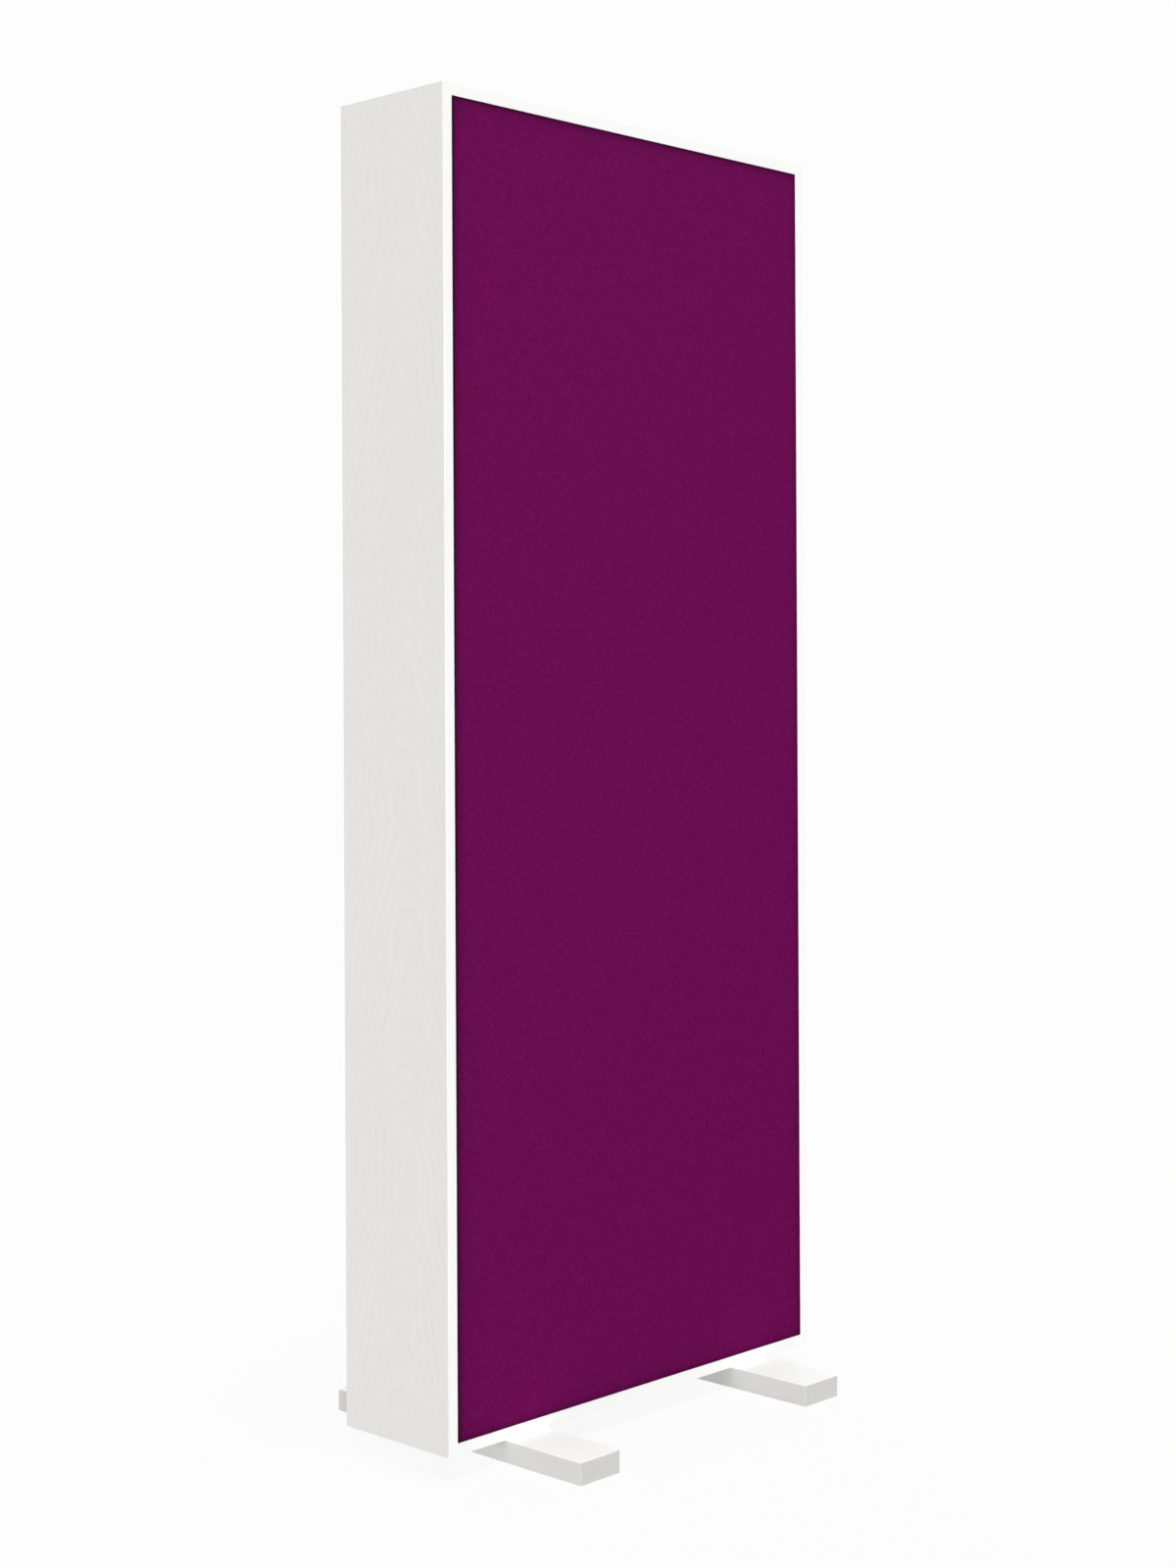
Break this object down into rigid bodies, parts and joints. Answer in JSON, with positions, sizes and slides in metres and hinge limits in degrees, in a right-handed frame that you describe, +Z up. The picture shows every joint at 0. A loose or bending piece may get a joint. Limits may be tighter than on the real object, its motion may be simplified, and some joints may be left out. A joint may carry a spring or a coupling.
{
  "type": "gobo panel",
  "caption": "Free-standing studio gobo: deep white wood-grain box casing with purple cloth on both faces, standing on flat bar feet that run front to back.",
  "frame": {"origin": "on the floor under the middle of the panel", "axes": "+Z up, +X along the panel's width, front face towards -Y"},
  "size_m": [0.748, 0.482, 1.83],
  "materials": {
    "casing_foil": "satin",
    "edging": "satin",
    "foot_foil": "satin",
    "cloth": "matte",
    "barrier_core": "matte",
    "softwood": "matte",
    "plywood": "matte",
    "mineral_wool": "matte",
    "wadding": "matte",
    "hook_and_loop": "matte",
    "zinc_steel": "satin"
  },
  "bodies": {
    "root": {"left_side_board": "casing_foil", "right_side_board": "casing_foil", "top_board": "casing_foil", "bottom_board": "casing_foil", "bottom_left_tongue": "plywood", "bottom_right_tongue": "plywood", "top_left_tongue": "plywood", "top_right_tongue": "plywood", "left_end_edging": "edging", "right_end_edging": "edging", "barrier_board": "barrier_core", "left_foot": "foot_foil", "right_foot": "foot_foil", "foot_bolts": "zinc_steel", "threaded_inserts": "zinc_steel", "left_front_edging": "edging", "right_front_edging": "edging", "top_front_edging": "edging", "bottom_front_edging": "edging", "front_left_stile": "softwood", "front_right_stile": "softwood", "front_bottom_rail": "softwood", "front_top_rail": "softwood", "front_lower_cross_rail": "softwood", "front_upper_cross_rail": "softwood", "front_fixing_blocks": "softwood", "front_lower_slab": "mineral_wool", "front_lower_wadding": "wadding", "front_middle_slab": "mineral_wool", "front_middle_wadding": "wadding", "front_upper_slab": "mineral_wool", "front_upper_wadding": "wadding", "front_cloth_cover": "cloth", "front_staples": "zinc_steel", "front_loop_pads": "hook_and_loop", "front_hook_pads": "hook_and_loop", "left_rear_edging": "edging", "right_rear_edging": "edging", "top_rear_edging": "edging", "bottom_rear_edging": "edging", "rear_left_stile": "softwood", "rear_right_stile": "softwood", "rear_bottom_rail": "softwood", "rear_top_rail": "softwood", "rear_lower_cross_rail": "softwood", "rear_upper_cross_rail": "softwood", "rear_fixing_blocks": "softwood", "rear_lower_slab": "mineral_wool", "rear_lower_wadding": "wadding", "rear_middle_slab": "mineral_wool", "rear_middle_wadding": "wadding", "rear_upper_slab": "mineral_wool", "rear_upper_wadding": "wadding", "rear_cloth_cover": "cloth", "rear_staples": "zinc_steel", "rear_loop_pads": "hook_and_loop", "rear_hook_pads": "hook_and_loop"}
  },
  "joints": []
}
